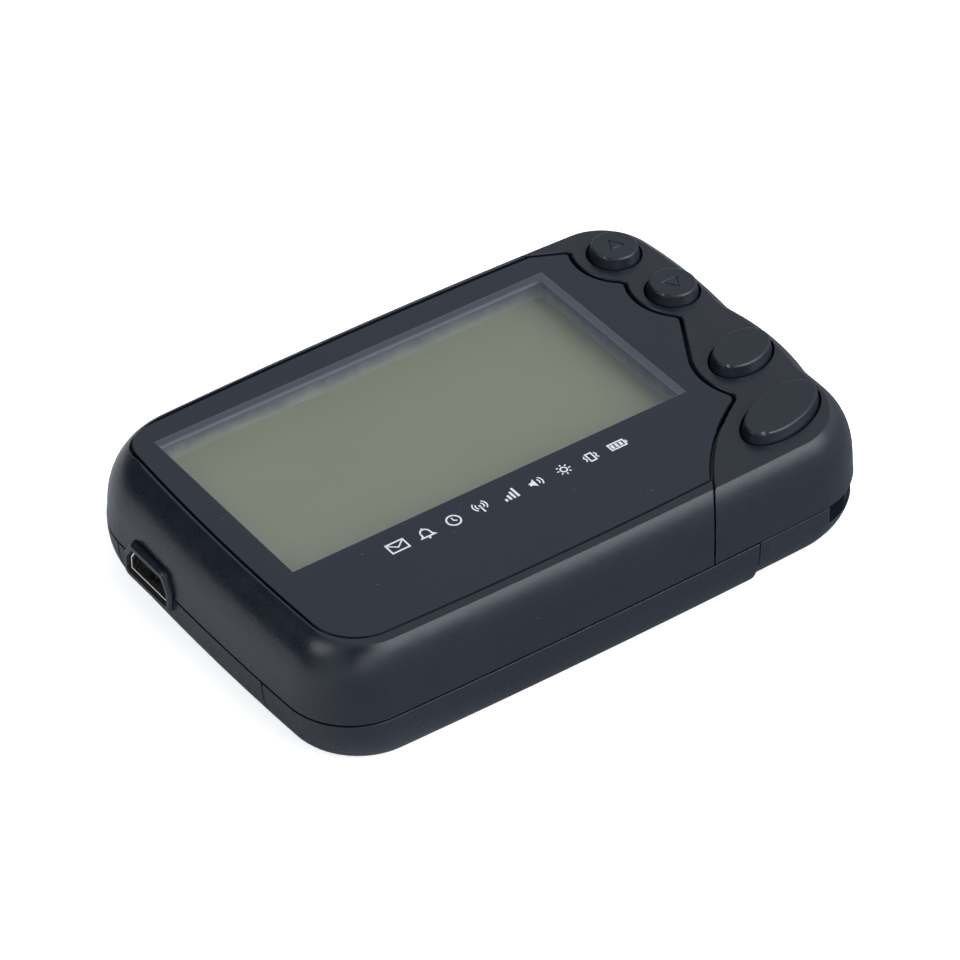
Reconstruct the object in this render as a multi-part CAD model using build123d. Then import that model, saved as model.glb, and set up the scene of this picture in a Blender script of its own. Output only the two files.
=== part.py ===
from build123d import *
from math import cos, radians, sin, sqrt, tan
import os

# Pocket message pager. Frame: origin at the middle of the back face, +X to the right and +Y up the
# screen when the display is read, +Z out of the display. Millimetres.

# ---- case ----
HALF_LENGTH = 42.0
HALF_WIDTH = 28.3
PARTING_Z = 7.2             # plane between the front shells and the rear shells
RIM_Z = 16.8                # top of the rim round the lens, and of the button panel
DRAFT = 4.5                 # mould draft of the front walls, degrees
SHOULDER_Z = 10.45          # the front walls start to curve in above this
CREST = 0.93                # share of the curve's height that is used; the rest would lie flat
# how far the curve comes in on each side: left, front, right, back
SHOULDER_REACH = (4.77, 2.3, 4.5, 3.99)
SHOULDER_EASE = 0.28        # corners stay this much rounder than an even offset would make them
SILL_Z = (7.2, 5.3, 5.3, 5.3)   # the rear walls start to curve in below these heights
FOOT_REACH = (3.35, 2.3, 2.5, 2.3)
FOOT_EASE = 0.9
END_FOOT_REACH = 1.0        # added to those reaches at the button end
# corner radii of the plan: left back, left front, right front, right back
CORNER_RADII = (10.9, 9.0, 10.8, 9.1)
WAIST_RADII = (6.0, 5.0)    # of the two shallow waists in the button end
# heights of the sections that the front half is drawn through
FRONT_LEVELS = (PARTING_Z, 9.2, 11.0, 12.6, 14.0, 15.1, 15.9, 16.45, RIM_Z)
# the same for the rear half, as shares of its height
REAR_STEPS = (0.0, 0.035, 0.1, 0.2, 0.33, 0.48, 0.64, 0.81, 1.0)
FOOT_CREST = 0.985          # share of the foot curve that is used
WALL = 1.8                  # side walls of the front shells
PANEL_BASE_Z = 15.1         # underside of the button panel
COVER_PROUD = 0.1           # the battery cover stands this far outside the rear case
SHADOW_GAP = 0.36           # height of the dark line between the front and rear halves

# ---- display ----
LENS_TOP_Z = 16.7
LENS_THICK = 1.5
LENS_GAP = 0.32             # groove between the lens and its rim
ADHESIVE_THICK = 0.15
DECK_THICK = 1.4            # shelf of the front frame that carries the lens
WINDOW_X = (-33.84, 24.09)  # clear area of the display
WINDOW_Y = (-9.09, 20.62)
LCD_TOP_Z = 12.8
LCD_X = (-35.5, 25.6)
LCD_Y = (-11.45, 23.65)
LCD_STEP_Y = 22.05          # beyond this only the upper glass plate carries on
LCD_BASE_Z = 11.55
GLASS_THICK = 0.6           # of the upper glass plate
LCD_CLEARANCE = 0.1
HOLDER_WALL = 0.9

# ---- seam between the front frame and the button panel ----
SEAM_GAP = 0.25
SEAM_WEB = 0.6              # web of the frame that closes the seam from inside

# ---- keys ----
KEY_TOP_Z = 18.2
KEY_GAP = 0.28              # gap between a key and its hole
KEY_FLARE = 0.38            # the foot of a key is this much wider than its top
KEY_FLANGE = 0.55           # width of the flange that keeps a key in the panel
KEY_FLANGE_Z = (14.2, 14.9)
NOTCH_ANGLE = -146.0        # direction from the middle of a key to the notch in its edge
NOTCH_RADIUS = 0.85
NOTCH_RISE = 0.55           # the middle of the notch's ball is this far above the key
# name: (centre x, centre y, half length, half width, tilt in degrees) of the top of each key
KEYS = {
    "up": (33.76, 18.3, 2.95, 2.95, 0.0),
    "down": (35.07, 7.91, 2.95, 2.95, 0.0),
    "read": (33.9, -7.5, 4.4, 2.95, 17.0),
    "menu": (30.55, -19.5, 6.3, 3.1, 17.5),
}
ARROW_SIDE = 2.3            # engraved triangles on the two round keys
ARROW_LINE = 0.28
ARROW_DEPTH = 0.15
PLUNGER_RADIUS = 1.0
PLUNGER_CLEARANCE = 0.06
PLUNGER_DEPTH = 0.9         # how far a plunger reaches into its switch
SWITCH_SIDE = 4.6
SWITCH_TOP_Z = 12.4
KEY_TRAVEL = 0.35

# ---- main board ----
BOARD_Z = (9.3, 10.3)
BOARD_INSET = 2.7           # from the outline of the case

# ---- rear case and battery ----
COVER_WALL = 1.5
COVER_FLOOR = 1.4
COVER_END_X = 21.0          # seam between the battery cover and the button end of the rear case
COVER_GAP = 0.15
COVER_SEAM = 0.28           # width of the seams that show on the sides
COVER_SLIDE_GAP = 0.3       # between the sides of the cover and the tub, so that it slides along X
CEILING_THICK = 0.9         # floor of the rear case, over the battery
TUB_WALL = 1.2
PORT_SECTION_Y = (-13.65, 17.3)  # the port section of the rear case, at the left end
PORT_SECTION_X = -34.0
BATTERY_X = (-30.5, 16.5)
BATTERY_HALF_WIDTH = 17.5
BATTERY_Z = (1.55, 6.1)
TERMINAL_Y = (-5.0, 0.0, 5.0)

# ---- charging port ----
PORT_Y = 9.65
PORT_Z = 7.4
PORT_HALF_FOOT = 4.3        # half width of the opening at its foot
PORT_HALF_HEAD = 3.2        # half width at its top
PORT_HALF_HEIGHT = 1.9
HOOD_LIP = 0.85
HOOD_BEVEL = 0.3
HOOD_X = (-42.6, -40.0)
PORT_SHELL_X = (-42.1, -33.4)
PORT_SHELL_GAP = 0.2        # between the metal shell and the opening
PORT_SHELL_WALL = 0.18

# ---- screws ----
CASE_SCREWS = [(-34.0, -20.2), (12.5, -22.4), (37.0, 0.3)]
BOARD_SCREWS = [(-22.0, -17.5), (2.0, -17.5)]
SCREW_RADIUS = 0.75
SCREW_HEAD_RADIUS = 1.5
BOSS_RADIUS = 2.1
CASE_SCREW_TIP_Z = 13.9
BOARD_SCREW_TIP_Z = 12.8
PILOT_CLEARANCE = 0.03      # between a case screw and its hole in the front shells

# ---- vibration motor ----
MOTOR_X = 28.5
MOTOR_Z = 5.0
MOTOR_RADIUS = 2.5
MOTOR_Y = (-8.0, 3.0)
SHAFT_RADIUS = 0.5
WEIGHT_RADIUS = 2.6
WEIGHT_Y = (-13.2, -9.2)
SHAFT_DEPTH = 2.9           # length of the shaft inside the motor

# ---- sounder ----
BUZZER_CENTRE = (30.0, 15.5)
BUZZER_RADIUS = 6.0
BUZZER_FOOT_Z = 4.6

BIG = 100.0


# ------------------------------------------------------------------ helpers

def box(x, y, z):
    """Block between two limits on each axis."""
    solid = Box(x[1] - x[0], y[1] - y[0], z[1] - z[0])
    return Pos((x[0] + x[1]) / 2, (y[0] + y[1]) / 2, (z[0] + z[1]) / 2) * solid


def rod(x, y, z, radius):
    """Upright round bar between two heights."""
    return Pos(x, y, (z[0] + z[1]) / 2) * Cylinder(radius, z[1] - z[0])


def rod_y(x, y, z, radius):
    """Round bar along Y between two stations."""
    turned = Rotation(90, 0, 0) * Cylinder(radius, y[1] - y[0])
    return Pos(x, (y[0] + y[1]) / 2, z) * turned


def prism(face, z):
    """Upright prism on a plan face between two heights."""
    return Pos(0, 0, z[0]) * extrude(face, z[1] - z[0])


def corner_near(face, x, y):
    """Corner of a face nearest to a point."""
    return min(face.vertices(), key=lambda v: (v.X - x) ** 2 + (v.Y - y) ** 2)


def round_corners(face, corners):
    """Round the corners of a face; each entry is x, y and the radius there."""
    for x, y, radius in corners:
        face = fillet(corner_near(face, x, y), radius)
    return face


def closed_face(edges):
    """Face inside a closed run of edges."""
    return make_face(Wire(edges))


def shrink(face, amount):
    """Face moved in by an amount all round."""
    return offset(face, -amount)


def grow(face, amount):
    """Face moved out by an amount all round, with round corners."""
    return offset(face, amount)


# ------------------------------------------------------------------ plan curves

def plan_edges(left, front, right, back):
    """Sides of the case, each moved in by its own amount: bowed sides, a waist each side of a key."""
    left_top = (-41.05 + left, 27.3 - back)
    left_bottom = (-41.05 + left, -27.7 + front)
    right_bottom = (40.3 - right, -27.7 + front)
    right_top = (40.6 - right, 27.5 - back)
    low_waist = (41.4 - right, -13.15)
    high_waist = (41.6 - right, 2.15)
    edges = [
        ThreePointArc(left_top, (-HALF_LENGTH + left, 0), left_bottom),
        ThreePointArc(left_bottom, (0, -HALF_WIDTH + front), right_bottom),
        ThreePointArc(right_bottom, (41.2 - right, -20.0), low_waist),
        ThreePointArc(low_waist, (42.5 - right, -5.4), high_waist),
        ThreePointArc(high_waist, (42.2 - right, 10.3), right_top),
        ThreePointArc(right_top, (0, HALF_WIDTH - back), left_top),
    ]
    return edges, (left_top, left_bottom, right_bottom, right_top, low_waist, high_waist)


def outline(inset=0.0):
    """Case at the parting plane, moved in by an inset."""
    edges, corners = plan_edges(0.0, 0.0, 0.0, 0.0)
    left_top, left_bottom, right_bottom, right_top, low_waist, high_waist = corners
    plan = closed_face(edges)
    if inset:
        plan = offset(plan, -inset, kind=Kind.INTERSECTION)
    rounding = [
        (*left_top, CORNER_RADII[0] - inset),
        (*left_bottom, CORNER_RADII[1] - inset),
        (*right_bottom, CORNER_RADII[2] - inset),
        (*right_top, CORNER_RADII[3] - inset),
        (*low_waist, WAIST_RADII[0] + inset),
        (*high_waist, WAIST_RADII[1] + inset),
    ]
    return round_corners(plan, rounding)


def section(insets, ease, z):
    """Case at a height, each side moved in by its own amount; ease keeps the corners rounder."""
    left, front, right, back = insets
    edges, corners = plan_edges(left, front, right, back)
    left_top, left_bottom, right_bottom, right_top, low_waist, high_waist = corners
    keep = (1.0 - ease) / 2.0
    rounding = [
        (*left_top, CORNER_RADII[0] - keep * (left + back)),
        (*left_bottom, CORNER_RADII[1] - keep * (left + front)),
        (*right_bottom, CORNER_RADII[2] - keep * (right + front)),
        (*right_top, CORNER_RADII[3] - keep * (right + back)),
        (*low_waist, WAIST_RADII[0] + right),
        (*high_waist, WAIST_RADII[1] + right),
    ]
    return Pos(0, 0, z) * round_corners(closed_face(edges), rounding)


def curve_in(share):
    """How far an elliptic rounding has come in, from 0 to 1, at a share of its height."""
    return 1.0 - sqrt(1.0 - share * share)


def lens_outline(inset=0.0):
    """Plan of the lens, moved in by an inset, before the button panel bites into its right end."""
    left_top = (-36.7, 23.75)
    left_bottom = (-36.9, -23.75)
    edges = [
        ThreePointArc(left_top, (-37.63, 0), left_bottom),
        ThreePointArc(left_bottom, (-5, -24.6), (34, -23.45)),
        Line((34, -23.45), (34, 23.75)),
        ThreePointArc((34, 23.75), (-3, 24.5), left_top),
    ]
    plan = closed_face(edges)
    if inset:
        plan = offset(plan, -inset, kind=Kind.INTERSECTION)
    return round_corners(plan, [(*left_top, 4.4 - inset), (*left_bottom, 6.2 - inset)])


def panel_region():
    """Everything to the right of the seam: one scallop round each key, with tips between them."""
    foot = (14.2, -28.2)
    tips = [(28.95, -13.5), (33.0, 3.3), (31.7, 12.9), (29.7, 22.0)]
    straight_from = (28.3, -4.9)
    head = (23.0, 25.3)
    edges = [
        Line((14.2, -40), foot),
        ThreePointArc(foot, (20.4, -19.7), tips[0]),
        ThreePointArc(tips[0], (27.45, -8.6), straight_from),
        Line(straight_from, tips[1]),
        ThreePointArc(tips[1], (30.4, 8.1), tips[2]),
        ThreePointArc(tips[2], (28.7, 17.8), tips[3]),
        Line(tips[3], head),
        Line(head, (22.2, 40)),
        Line((22.2, 40), (60, 40)),
        Line((60, 40), (60, -40)),
        Line((60, -40), (14.2, -40)),
    ]
    tip_radii = (1.4, 1.3, 1.1, 0.9)
    corners = [(x, y, radius) for (x, y), radius in zip(tips, tip_radii)]
    return round_corners(closed_face(edges), corners + [(*head, 1.5)])


def key_plan(name, extra=0.0):
    """Oval of a key at its top, made larger by an amount."""
    x, y, half_length, half_width, tilt = KEYS[name]
    return Pos(x, y) * Rotation(0, 0, tilt) * Ellipse(half_length + extra, half_width + extra)


def port_profile(extra=0.0):
    """Section of the charging port, looking along X: wide foot, sloping shoulders, narrow top."""
    half = [
        (PORT_HALF_FOOT, -PORT_HALF_HEIGHT),
        (PORT_HALF_FOOT, 0.1),
        (PORT_HALF_HEAD, PORT_HALF_HEIGHT),
    ]
    points = half + [(-y, z) for y, z in reversed(half)]
    face = fillet(make_face(Polyline(points, close=True)).vertices(), 0.35)
    if extra:
        face = offset(face, extra)
    return face


def port_prism(x, extra=0.0):
    """Port section carried along X between two stations."""
    plane = Plane(origin=(x[0], PORT_Y, PORT_Z), x_dir=(0, 1, 0), z_dir=(1, 0, 0))
    return extrude(plane * port_profile(extra), x[1] - x[0])


PANEL = panel_region()


# ------------------------------------------------------------------ shells

def drafted(inset, z, angle):
    """Prism on the case outline whose sides lean by an angle, upright at the parting plane."""
    block = prism(outline(inset), z)
    sides = block.faces().filter_by(lambda face: abs(face.normal_at(face.center()).Z) < 0.01)
    return draft(sides, Plane((0, 0, PARTING_Z)), angle)


def front_block():
    """Solid shape of the front half: drafted walls that curve in and end in a crease at the rim."""
    sections = []
    for z in FRONT_LEVELS:
        lean = (z - PARTING_Z) * tan(radians(DRAFT))
        share = curve_in(max(0.0, (z - SHOULDER_Z) / (RIM_Z - SHOULDER_Z) * CREST))
        insets = [lean + share * reach for reach in SHOULDER_REACH]
        sections.append(section(insets, SHOULDER_EASE, z))
    return loft(sections)


def rear_block(inset=0.0, more_reach=0.0):
    """Solid shape of the rear half; inset moves it in at the sides and foot."""
    sections = []
    for step in REAR_STEPS:
        z = inset + (PARTING_Z - inset) * step
        insets = []
        for sill, reach in zip(SILL_Z, FOOT_REACH):
            share = curve_in(FOOT_CREST * max(0.0, (sill - z) / (sill - inset)))
            insets.append(inset + share * max(0.5, reach + more_reach - inset))
        sections.append(section(insets, FOOT_EASE, z))
    return loft(sections)


def inner_block(z, inset):
    """Straight-sided space inside the case, at an inset from its outline."""
    return prism(outline(inset), z)


def front_cavity(top_z):
    """Space inside the front shells up to a height, drafted like the walls."""
    return drafted(WALL, (PARTING_Z - 1, top_z), DRAFT)


def hood_cut():
    """Room that the front frame leaves for the hood of the port."""
    return port_prism((HOOD_X[0] - 2, HOOD_X[1] + 3), HOOD_LIP + 0.12)


def front_frame():
    """Rim, side walls and lens shelf, open at the button end."""
    deck_top = LENS_TOP_Z - LENS_THICK - ADHESIVE_THICK
    deck_base = deck_top - DECK_THICK
    lens_pocket = prism(lens_outline(-LENS_GAP), (deck_top, RIM_Z + 1))
    aperture = window_block(0.5, 0.5, (deck_base - 1, deck_top + 1))
    shell = front_block() - front_cavity(deck_base)
    shell -= lens_pocket
    shell -= aperture
    shell -= prism(grow(PANEL, SEAM_GAP), (0, BIG))
    shell += seam_web((BOARD_Z[1] + 0.3, deck_top), deck_base)
    shell += seam_fill((PARTING_Z, deck_top))
    for x, y in CASE_SCREWS[:2]:
        shell += rod(x, y, (BOARD_Z[1], deck_base + 0.1), BOSS_RADIUS)
        shell -= rod(x, y, (BOARD_Z[1] - 1, deck_base + 0.7), SCREW_RADIUS + PILOT_CLEARANCE)
    for x, y in BOARD_SCREWS:
        shell += rod(x, y, (BOARD_Z[1], deck_base + 0.1), BOSS_RADIUS - 0.4)
        shell -= rod(x, y, (BOARD_Z[1] - 1, deck_base), SCREW_RADIUS - 0.1)
    return shell - hood_cut()


def seam_web(z, clear_below):
    """Web under the seam between the front shells, cut away round the display holder."""
    web = prism(grow(PANEL, SEAM_GAP + 0.2) - shrink(PANEL, SEAM_WEB), z)
    web &= inner_block(z, WALL + 1.0)
    return web - box((0, LCD_X[1] + 1.4), (LCD_Y[0] - 1.4, LCD_Y[1] + 1.4), (0, clear_below))


def seam_fill(z):
    """Thin wall deep in the seam where it crosses the side walls, so that no light comes through."""
    depth = 1.3
    clearance = 0.04
    gap = prism(grow(PANEL, SEAM_GAP + 0.2) - grow(PANEL, clearance), z)
    return gap & (drafted(depth, z, DRAFT) - front_cavity(z[1] + 1))


def window_block(side, end, z):
    """Block on the clear area of the display, larger by an amount along X and another along Y."""
    return box(
        (WINDOW_X[0] - side, WINDOW_X[1] + side),
        (WINDOW_Y[0] - end, WINDOW_Y[1] + end),
        z,
    )


def button_panel():
    """Button end of the front: plate, side walls and one hole for each key."""
    shell = (front_block() - front_cavity(PANEL_BASE_Z)) & prism(PANEL, (0, BIG))
    shell = fillet(shell.edges().filter_by(is_seam_edge), 0.25)
    for name in KEYS:
        shell -= prism(key_plan(name, KEY_FLARE + KEY_GAP), (PANEL_BASE_Z - 1, RIM_Z + 1))
    x, y = CASE_SCREWS[2]
    shell += rod(x, y, (BOARD_Z[1], PANEL_BASE_Z + 0.1), BOSS_RADIUS - 0.3)
    shell -= rod(x, y, (BOARD_Z[1] - 1, PANEL_BASE_Z - 0.9), SCREW_RADIUS + PILOT_CLEARANCE)
    return shell


def is_seam_edge(edge):
    """True for the edges of the button panel along the seam, at the rim."""
    middle = edge.center()
    return middle.Z > RIM_Z - 0.01 and middle.X < 33.0 and abs(middle.Y) < 24.5


def lanyard_slot():
    """Ring sector cut round the front right corner, and the post that the cord goes behind."""
    z = (4.2, PARTING_Z + 1)
    ring = outline(-1.0) - outline(4.3)
    sector = box((32.2, 60), (-60, -17.0), z)
    cut = prism(ring, z) & sector
    post_ring = outline(0.75) - outline(2.4)
    post_box = Pos(38.0, -24.6, 6.0) * Rotation(0, 0, -48) * Box(8.0, 2.6, 6.0)
    post = prism(post_ring, (3.6, PARTING_Z)) & post_box
    return cut, post


def rear_case():
    """Inner tub over the battery, port section at the left end and full-width button end."""
    tub_inset = COVER_WALL + COVER_SLIDE_GAP
    end_x = COVER_END_X + COVER_SEAM
    tub_z = (COVER_FLOOR + COVER_GAP, PARTING_Z)
    ceiling_z = PARTING_Z - CEILING_THICK
    middle = rear_block(tub_inset) & box((-60, end_x + 1), (-60, 60), tub_z)
    case = middle - inner_block((-1, ceiling_z), tub_inset + TUB_WALL)
    outer = rear_block(COVER_PROUD, END_FOOT_REACH)
    button_end = outer & box((end_x, 60), (-60, 60), (-1, PARTING_Z))
    hollow = inner_block((COVER_PROUD + 1.6, BIG), COVER_PROUD + 1.7)
    hollow &= box((end_x + 1.5, 60), (-60, 60), (-1, BIG))
    case += port_section(tub_z, ceiling_z)
    slot, post = lanyard_slot()
    case += button_end
    case -= slot
    case += post
    case -= hollow - slot_guard()
    case -= prism(outline(-1.0) - outline(COVER_PROUD + 0.8), (PARTING_Z - SHADOW_GAP, BIG))
    case += battery_ribs(ceiling_z)
    hood = port_prism(HOOD_X, HOOD_LIP)
    case += chamfer(hood.faces().sort_by(Axis.X)[0].edges(), HOOD_BEVEL)
    case -= port_prism((HOOD_X[0] - 1, PORT_SECTION_X + 1.5), 0.0)
    pocket_y = (PORT_Y - PORT_HALF_FOOT - 0.3, PORT_Y + PORT_HALF_FOOT + 0.3)
    case -= box((HOOD_X[1], PORT_SECTION_X + 1.5), pocket_y, (PORT_Z - PORT_HALF_HEIGHT - 0.1, BIG))
    for x, y in CASE_SCREWS:
        foot = COVER_PROUD + 0.05 if x > COVER_END_X else tub_z[0] + 0.5
        case += rod(x, y, (foot + 0.3, BOARD_Z[0]), BOSS_RADIUS + 0.3)
        case -= rod(x, y, (-1, foot + 1.6), SCREW_HEAD_RADIUS + 0.15)
        case -= rod(x, y, (-1, BIG), SCREW_RADIUS + 0.15)
    for x, y in contact_places():
        case -= box((x - 1.6, x + 2.2), (y - 1.1, y + 1.1), (ceiling_z - 1, PARTING_Z + 1))
    for tab in cover_tabs(0.12):
        case -= tab
    for hole in sound_holes():
        case -= hole
    return case


def port_section(z, ceiling_z):
    """Part of the rear case that shows at the left end, round the charging port."""
    solid = rear_block() & box((-60, PORT_SECTION_X), PORT_SECTION_Y, z)
    wall = 1.4
    inside = inner_block((COVER_FLOOR + 1.6, ceiling_z), WALL)
    inside &= box(
        (-60, PORT_SECTION_X - 1),
        (PORT_SECTION_Y[0] + wall, PORT_SECTION_Y[1] - wall),
        (-1, BIG),
    )
    return solid - inside


def slot_guard():
    """Wall kept between the cord slot and the inside of the button end."""
    guard = inner_block((2.8, PARTING_Z), 4.2) - inner_block((2.6, PARTING_Z + 1), 5.4)
    guard += inner_block((2.8, 4.2), 1.0)
    return guard & box((31.0, 60), (-60, -15.8), (-1, BIG))


def battery_ribs(ceiling_z):
    """Two ribs that stand beside the battery and one across its left end."""
    y = BATTERY_HALF_WIDTH + 0.3
    z = (COVER_FLOOR + 0.3, ceiling_z + 0.1)
    side = box((BATTERY_X[0] - 1.2, BATTERY_X[1] + 3), (y, y + 1.0), z)
    end = box((BATTERY_X[0] - 1.2, BATTERY_X[0] - 0.2), (-y - 1.0, y + 1.0), z)
    return side + mirror(side, Plane.XZ) + end


def sound_holes():
    """Five round holes over the buzzer, one in the middle and four round it."""
    x, y = BUZZER_CENTRE
    reach = 2.2
    places = [(x, y)]
    for angle in range(45, 360, 90):
        places.append((x + reach * cos(radians(angle)), y + reach * sin(radians(angle))))
    return [rod(px, py, (-1, COVER_PROUD + 2.5), 0.5) for px, py in places]


def cover_tabs(extra=0.0):
    """Two tongues on the battery cover that hook under the button end."""
    z = (COVER_FLOOR - extra, COVER_FLOOR + 0.8 + extra)
    x = (COVER_END_X - 3.0, COVER_END_X + 3.2 + extra)
    return [box(x, (y - 2.0 - extra, y + 2.0 + extra), z) for y in (-22.0, 22.0)]


def battery_cover():
    """Tray that wraps the back, both long sides and the two left corners."""
    shell = rear_block() & box((-60, COVER_END_X), (-60, 60), (-1, PARTING_Z - SHADOW_GAP))
    shell -= rear_block(COVER_WALL) & box((-60, 60), (-60, 60), (COVER_FLOOR, BIG))
    shell -= inner_block((COVER_FLOOR, BIG), COVER_WALL + 3)
    port_y = (PORT_SECTION_Y[0] - COVER_SEAM, PORT_SECTION_Y[1] + COVER_SEAM)
    shell -= box((-60, PORT_SECTION_X), port_y, (COVER_FLOOR, BIG))
    for tab in cover_tabs():
        shell += tab
    return shell


# ------------------------------------------------------------------ display

def display_lens():
    """Clear plate with a printed border, bitten by the button panel."""
    plan = lens_outline() - grow(PANEL, SEAM_GAP + 0.1)
    lens = prism(plan, (LENS_TOP_Z - LENS_THICK, LENS_TOP_Z))
    top = lens.faces().sort_by(Axis.Z)[-1]
    return chamfer(top.edges(), 0.15)


def lens_adhesive():
    """Thin double-sided frame between the lens and the shelf."""
    base = LENS_TOP_Z - LENS_THICK - ADHESIVE_THICK
    plan = lens_outline(0.4) - grow(PANEL, SEAM_GAP + 0.9)
    return prism(plan, (base, base + ADHESIVE_THICK)) - window_block(0.5, 0.5, (0, BIG))


def lcd_plan(extra):
    """Rectangle round the display glass, larger by an amount."""
    width = LCD_X[1] - LCD_X[0] + 2 * extra
    height = LCD_Y[1] - LCD_Y[0] + 2 * extra
    centre = Pos((LCD_X[0] + LCD_X[1]) / 2, (LCD_Y[0] + LCD_Y[1]) / 2)
    return centre, width, height


def lcd_holder():
    """Frame on the board that keeps the display stack in place, with a lip over its edge."""
    z = (BOARD_Z[1], LCD_TOP_Z + 0.8)
    centre, width, height = lcd_plan(LCD_CLEARANCE + HOLDER_WALL)
    ring = prism(centre * RectangleRounded(width, height, 2.5), z) & inner_block(z, WALL + 0.7)
    centre, width, height = lcd_plan(LCD_CLEARANCE)
    pocket = prism(centre * Rectangle(width, height), (z[0] - 1, LCD_TOP_Z + 0.3))
    return ring - pocket - window_block(0.9, 1.2, (0, BIG))


def lcd_glass():
    """Two glass plates as one block; the upper one reaches past the lower at the top edge."""
    upper = box(LCD_X, LCD_Y, (LCD_TOP_Z - GLASS_THICK, LCD_TOP_Z))
    lower = box(LCD_X, (LCD_Y[0], LCD_STEP_Y), (LCD_BASE_Z, LCD_TOP_Z - GLASS_THICK))
    return upper + lower


def lcd_polarizer():
    """Film on the front of the display glass."""
    inset = 0.5
    x = (LCD_X[0] + inset, LCD_X[1] - inset)
    return box(x, (LCD_Y[0] + inset, LCD_Y[1] - inset), (LCD_TOP_Z, LCD_TOP_Z + 0.18))


def under_glass(z):
    """Plate on the plan of the lower glass, a little smaller."""
    margin = 0.2
    x = (LCD_X[0] + margin, LCD_X[1] - margin)
    return box(x, (LCD_Y[0] + margin, LCD_STEP_Y - margin), z)


def lcd_reflector():
    """Diffusing film behind the display glass."""
    return under_glass((LCD_BASE_Z - 0.2, LCD_BASE_Z))


def light_guide():
    """Clear plate that spreads the backlight, with a notch for each lamp."""
    plate = under_glass((BOARD_Z[1] + 0.05, LCD_BASE_Z - 0.2))
    for lamp in lamp_boxes(0.1):
        plate -= lamp
    return plate


def lamp_boxes(extra=0.0):
    """Places of the two backlight lamps at the left end of the light guide."""
    x = (LCD_X[0] + 0.1, LCD_X[0] + 1.4 + extra)
    z = (BOARD_Z[1], BOARD_Z[1] + 0.6 + 5 * extra)
    return [box(x, (y - 1.5 - extra, y + 1.5 + extra), z) for y in (0.0, 12.0)]


def zebra_connector():
    """Rubber strip that joins the glass to the board along its top edge."""
    x = (LCD_X[0] + 2, LCD_X[1] - 2)
    return box(x, (LCD_STEP_Y + 0.15, LCD_Y[1] - 0.1), (BOARD_Z[1], LCD_TOP_Z - GLASS_THICK))


# ------------------------------------------------------------------ keys

def key_arrow(direction):
    """Thin engraved triangle; direction +1 points up the screen, -1 down it."""
    outer = RegularPolygon(ARROW_SIDE / 1.6, 3, rotation=90 * direction)
    inner = RegularPolygon(ARROW_SIDE / 1.6 - 2 * ARROW_LINE, 3, rotation=90 * direction)
    return outer - inner


def notch_place(name):
    """Point just outside the edge of a key, where a small notch tells the finger its lower left."""
    x, y, half_length, half_width, tilt = KEYS[name]
    angle = radians(NOTCH_ANGLE - tilt)
    along = cos(angle) / half_length
    across = sin(angle) / half_width
    reach = 1.0 / sqrt(along ** 2 + across ** 2) + 0.3
    return x + reach * cos(radians(NOTCH_ANGLE)), y + reach * sin(radians(NOTCH_ANGLE))


def button(name):
    """Key cap: flared cap, stem through the panel and a flange that keeps it in."""
    x, y = KEYS[name][:2]
    foot = key_plan(name, KEY_FLARE)
    foot_z = RIM_Z - 0.1
    cap = loft([Pos(0, 0, foot_z) * foot, Pos(0, 0, KEY_TOP_Z) * key_plan(name)], ruled=True)
    cap = fillet(cap.edges().sort_by(Axis.Z)[-1], 0.3)
    cap += prism(foot, (KEY_FLANGE_Z[0], foot_z))
    cap += prism(key_plan(name, KEY_FLARE + KEY_FLANGE), KEY_FLANGE_Z)
    cap -= Pos(*notch_place(name), KEY_TOP_Z + NOTCH_RISE) * Sphere(NOTCH_RADIUS)
    if name in ("up", "down"):
        arrow = key_arrow(1 if name == "up" else -1)
        cap -= Pos(x, y, KEY_TOP_Z - ARROW_DEPTH) * extrude(arrow, 1.0)
    return cap


def plunger(name):
    """Round pin between a key and its switch."""
    x, y = KEYS[name][:2]
    return rod(x, y, (SWITCH_TOP_Z - PLUNGER_DEPTH, KEY_FLANGE_Z[0]), PLUNGER_RADIUS)


def switch_bodies():
    """Four push switches on the board, each with a well for its plunger."""
    group = []
    for name in KEYS:
        x, y = KEYS[name][:2]
        half = SWITCH_SIDE / 2
        body = box((x - half, x + half), (y - half, y + half), (BOARD_Z[1], SWITCH_TOP_Z))
        body = chamfer(body.edges().filter_by(Axis.Z), 0.5)
        well_z = SWITCH_TOP_Z - PLUNGER_DEPTH - KEY_TRAVEL - 0.1
        body -= rod(x, y, (well_z, BIG), PLUNGER_RADIUS + PLUNGER_CLEARANCE)
        group.append(body)
    return Compound(children=group)


# ------------------------------------------------------------------ board and its parts

def main_board():
    """Circuit board that follows the case, with screw holes."""
    board = inner_block(BOARD_Z, BOARD_INSET)
    for x, y in CASE_SCREWS:
        board -= rod(x, y, (0, BIG), SCREW_RADIUS + 0.15)
    for x, y in BOARD_SCREWS:
        board -= rod(x, y, (0, BIG), SCREW_RADIUS)
    return board


def rf_shield():
    """Sheet metal can over the receiver, on the back of the board."""
    x = (-12.0, 12.0)
    y = (-10.0, 16.0)
    foot = BOARD_Z[0] - 1.6
    wall = 0.25
    outer = box(x, y, (foot, BOARD_Z[0]))
    outer = fillet(outer.edges().filter_by(Axis.Z), 0.8)
    inner = box((x[0] + wall, x[1] - wall), (y[0] + wall, y[1] - wall), (foot + wall, BIG))
    can = outer - inner
    for column in range(4):
        for row in range(4):
            can -= rod(-7.5 + 5 * column, -4.5 + 5 * row, (0, BOARD_Z[0] - 1), 0.6)
    return can


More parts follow.
